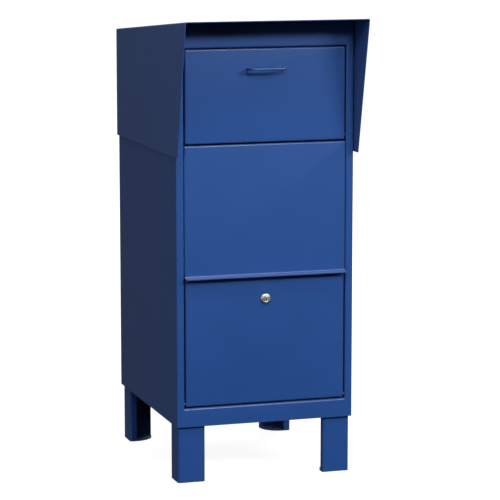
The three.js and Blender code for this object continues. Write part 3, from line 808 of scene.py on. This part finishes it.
def lock_case():
    """The domed head and the threaded barrel behind it."""
    rim_inner, rim_outer = (LOCK_BORE + width for width in LOCK_FLAT)
    profile = [
        (LOCK_BORE, LOCK_FRONT + 0.9),
        (LOCK_BORE + 0.5, LOCK_FRONT + 0.25),
        (rim_inner, LOCK_FRONT),
    ]
    profile += arc(
        (rim_outer, LOCK_FRONT + LOCK_DOME), (LOCK_HEAD - rim_outer, LOCK_DOME), -90, 90, 8)
    profile += [
        (LOCK_HEAD, -2 * LOCK_SEAT),
        (LOCK_HEAD - LOCK_SEAT, -LOCK_SEAT),
        (LOCK_BARREL, -LOCK_SEAT),
        (LOCK_BARREL, 0.9 * THREAD_START),
    ]
    profile += thread_profile()
    profile += [(LOCK_BARREL - 0.8, LOCK_BACK), (LOCK_BORE, LOCK_BACK)]
    return turned("lock_case", profile)


def lock_core():
    """The plug, with its keyway, a ring groove round it, and a tapped hole for the cam's screw."""
    (_, radius), (front, back), _ = span("lock_plug")
    profile = [
        (radius - 0.5, front), (radius - 0.12, front + 0.15), (radius, front + 0.5), (radius, back)]
    core = turned("lock_core", profile, ring=False)
    keyway = prism(
        [(kx, LOCK_Z + kz) for kx, kz in KEYWAY], "y", (front - 1, front + KEYWAY_DEPTH))
    inner, outer = PLUG_GROOVE
    before, floor_y = front - PLUG_GROOVE_DEPTH, front + PLUG_GROOVE_DEPTH
    groove = turned(
        "groove", [(inner, before), (outer, before), (outer, floor_y), (inner, floor_y)])
    tap = rod(PLUG_TAP_RADIUS, "y", (back - PLUG_TAP_DEPTH, back + 1), (0, LOCK_Z))
    return cut(core, keyway, groove, tap)


keep(finish_edges(lock_case(), 0.08, 1, 60), "collection_door", "nickel", nickel, "lock_housing")
keep(finish_edges(lock_core(), 0.08, 1, 50), "lock_cylinder", "nickel", nickel, "lock_plug")


# ---- Legs ----------------------------------------------------------------------------------------

LEG_SHEET = 3.0
LEG_LIP = 14.0
LEG_SHORT_FLANGE = 17.0
LEG_CORNER = 5.0
LEG_BOLTS = ((22, 40), (46, 20))
LEG_BOLT_HOLE = 4.4
WELD_NUT_RADIUS = 7.5
WELD_NUT_HEIGHT = 6.0
ANCHOR_PLACE = (36, 30)
ANCHOR_HOLE = 5.5


def leg_plate(width, depth):
    """A foot or cap plate: three rounded corners, and a sweep across the leg's open corner."""
    corner = (LEG_CORNER, LEG_CORNER)
    sweep = (width - LEG_SHORT_FLANGE, depth - LEG_LIP)
    points = arc(corner, corner, 180, 90, 6)
    points += arc((width - LEG_CORNER, LEG_CORNER), corner, 270, 90, 6)
    points += arc((LEG_SHORT_FLANGE, LEG_LIP), sweep, 0, 90, 20)
    points += arc((LEG_CORNER, depth - LEG_CORNER), corner, 90, 90, 6)
    return points


def bent_leg(name):
    """A leg with its outer corner at the origin: a bent wall between a foot plate and a cap."""
    (x0, x1), (y0, y1), (z0, height) = span("front_left_leg")
    width, depth = x1 - x0, y1 - y0
    middle = LEG_SHEET / 2
    section = sheet_section(
        [
            (width - middle, LEG_LIP),
            (width - middle, middle),
            (middle, middle),
            (middle, depth - middle),
            (LEG_SHORT_FLANGE, depth - middle),
        ],
        LEG_SHEET)
    wall = prism(section, "z", (z0, height), name)
    cap_bottom = height - LEG_SHEET
    foot = prism(leg_plate(width, depth), "z", (z0, z0 + LEG_SHEET))
    cap = prism(leg_plate(width, depth), "z", (cap_bottom, height))
    nuts = [
        prism(circle(WELD_NUT_RADIUS, spot, 6), "z", (cap_bottom - WELD_NUT_HEIGHT, cap_bottom + 1))
        for spot in LEG_BOLTS
    ]
    bolt_hole_ends = (cap_bottom - WELD_NUT_HEIGHT - PAST, height + PAST)
    holes = [rod(LEG_BOLT_HOLE, "z", bolt_hole_ends, spot) for spot in LEG_BOLTS]
    holes.append(rod(ANCHOR_HOLE, "z", (z0 - 1, z0 + LEG_SHEET + 1), ANCHOR_PLACE))
    return cut(join(wall, foot, cap, *nuts), *holes)


def placed_leg(node, side, end):
    """A leg mirrored or turned for its corner: side is -1 on the left, end is -1 at the front."""
    leg = bent_leg(node + "_bent")
    mesh = leg.data
    mesh.transform(Matrix.Translation(-place((0, 0, 0))))
    if side * end < 0:
        mesh.transform(Matrix.Diagonal((-1, 1, 1, 1)))
        mesh.flip_normals()
    if end > 0:
        mesh.transform(Matrix.Rotation(math.pi, 4, "Z"))
    x, y, z = span(node)
    corner = (x[0] if side < 0 else x[1], y[0] if end < 0 else y[1], 0)
    mesh.transform(Matrix.Translation(place(corner)))
    return leg


for leg_name, leg_side, leg_end in (
    ("front_left_leg", -1, -1), ("front_right_leg", 1, -1),
    ("rear_left_leg", -1, 1), ("rear_right_leg", 1, 1),
):
    keep(
        finish_edges(placed_leg(leg_name, leg_side, leg_end), 0.35),
        "cabinet", "blue_paint", paint, leg_name)


# ---- Carried CAD nodes ---------------------------------------------------------------------------

SLOT_MATERIALS = {"blue_paint": paint, "nickel": nickel, "zinc": zinc, "rubber": rubber}


def dress(node):
    """Materials and soft edges for a CAD node that keeps its own shape."""
    obj = frame["nodes"][node]
    for slot in obj.material_slots:
        cad_material = slot.material.name.split(".")[0]
        slot.material = pin_paint if "_pin_" in node else SLOT_MATERIALS[cad_material]
    weld = obj.modifiers.new("weld", "WELD")
    weld.merge_threshold = 0.01 * MM
    round_edges(obj, 0.25)


for carried in sorted(frame["nodes"]):
    if not frame["nodes"][carried].hide_render:
        dress(carried)


# ---- Studio --------------------------------------------------------------------------------------

STAGE_RADIUS = 40.0
AIM = Vector((0, FRONT, 0.60))


def floor():
    bm = bmesh.new()
    bmesh.ops.create_circle(bm, cap_ends=True, radius=STAGE_RADIUS, segments=96)
    obj = new_object("studio_floor", bm)
    obj.data.materials.append(floor_paper())
    obj.visible_diffuse = False
    obj.visible_glossy = False


def backdrop():
    """A plain white sphere that only the camera sees."""
    bm = bmesh.new()
    bmesh.ops.create_uvsphere(bm, u_segments=64, v_segments=32, radius=STAGE_RADIUS)
    obj = new_object("studio_backdrop", bm)
    material = bpy.data.materials.new("backdrop_white")
    material.use_nodes = True
    nodes = material.node_tree.nodes
    nodes.clear()
    glow = nodes.new("ShaderNodeEmission")
    glow.inputs["Color"].default_value = (1, 1, 1, 1)
    output = nodes.new("ShaderNodeOutputMaterial")
    material.node_tree.links.new(glow.outputs[0], output.inputs["Surface"])
    obj.data.materials.append(material)
    for ray in ("diffuse", "glossy", "transmission", "shadow", "volume_scatter"):
        setattr(obj, "visible_" + ray, False)


def softbox(name, azimuth, elevation, distance, size, power):
    """An area light that looks at the object. Azimuth is to the right of the front's normal."""
    light = bpy.data.lights.new(name, "AREA")
    light.shape = "RECTANGLE"
    light.size, light.size_y = size
    light.energy = power
    obj = bpy.data.objects.new(name, light)
    a, e = math.radians(azimuth), math.radians(elevation)
    away = Vector((math.sin(a) * math.cos(e), -math.cos(a) * math.cos(e), math.sin(e)))
    obj.location = AIM + away * distance
    obj.rotation_euler = away.to_track_quat("Z", "Y").to_euler()
    obj.visible_camera = False
    bpy.context.scene.collection.objects.link(obj)


def surroundings():
    """A dim room: brighter above, dark below, with a little light behind."""
    world = bpy.data.worlds.new("studio")
    bpy.context.scene.world = world
    world.use_nodes = True
    nodes, links = world.node_tree.nodes, world.node_tree.links
    where = nodes.new("ShaderNodeTexCoord").outputs["Generated"]
    axes = nodes.new("ShaderNodeSeparateXYZ")
    links.new(where, axes.inputs[0])
    above = mapped(nodes, links, axes.outputs["Z"], -0.02, 0.6, 0.01, 0.26, "SMOOTHSTEP")
    behind = mapped(nodes, links, axes.outputs["Y"], 0.2, 1.0, 0.0, 0.035, "SMOOTHSTEP")
    background = nodes["Background"]
    links.new(calculated(nodes, links, "ADD", above, behind), background.inputs["Strength"])
    background.inputs["Color"].default_value = (1, 1, 1, 1)


CAMERA_PLACE = (-1.6948, -5.4661, 1.4027)
CAMERA_TILT = 8.84
CAMERA_TURN = 17.51
CAMERA_LENS = 172.62


def camera():
    """Stands to the left of the front, a little above the box, and looks slightly down."""
    data = bpy.data.cameras.new("camera")
    data.lens = CAMERA_LENS
    obj = bpy.data.objects.new("camera", data)
    obj.location = CAMERA_PLACE
    obj.rotation_euler = (math.radians(90 - CAMERA_TILT), 0, math.radians(-CAMERA_TURN))
    bpy.context.scene.collection.objects.link(obj)
    bpy.context.scene.camera = obj


floor()
backdrop()
softbox("key_left", azimuth=9, elevation=28.5, distance=5.5, size=(1.3, 0.75), power=106)
softbox("key_right", azimuth=40, elevation=23.0, distance=5.5, size=(1.95, 0.75), power=127)
softbox("front_fill", azimuth=-12, elevation=40, distance=5.5, size=(5.0, 1.3), power=82)
softbox("left_fill", azimuth=-72, elevation=12, distance=5.0, size=(3.0, 3.0), power=51)
softbox("top_strip", azimuth=8, elevation=67, distance=4.5, size=(2.6, 0.5), power=55)
softbox("back_fill", azimuth=150, elevation=26, distance=5.0, size=(3.0, 2.4), power=130)
surroundings()
camera()
bpy.context.scene.view_settings.view_transform = "Standard"
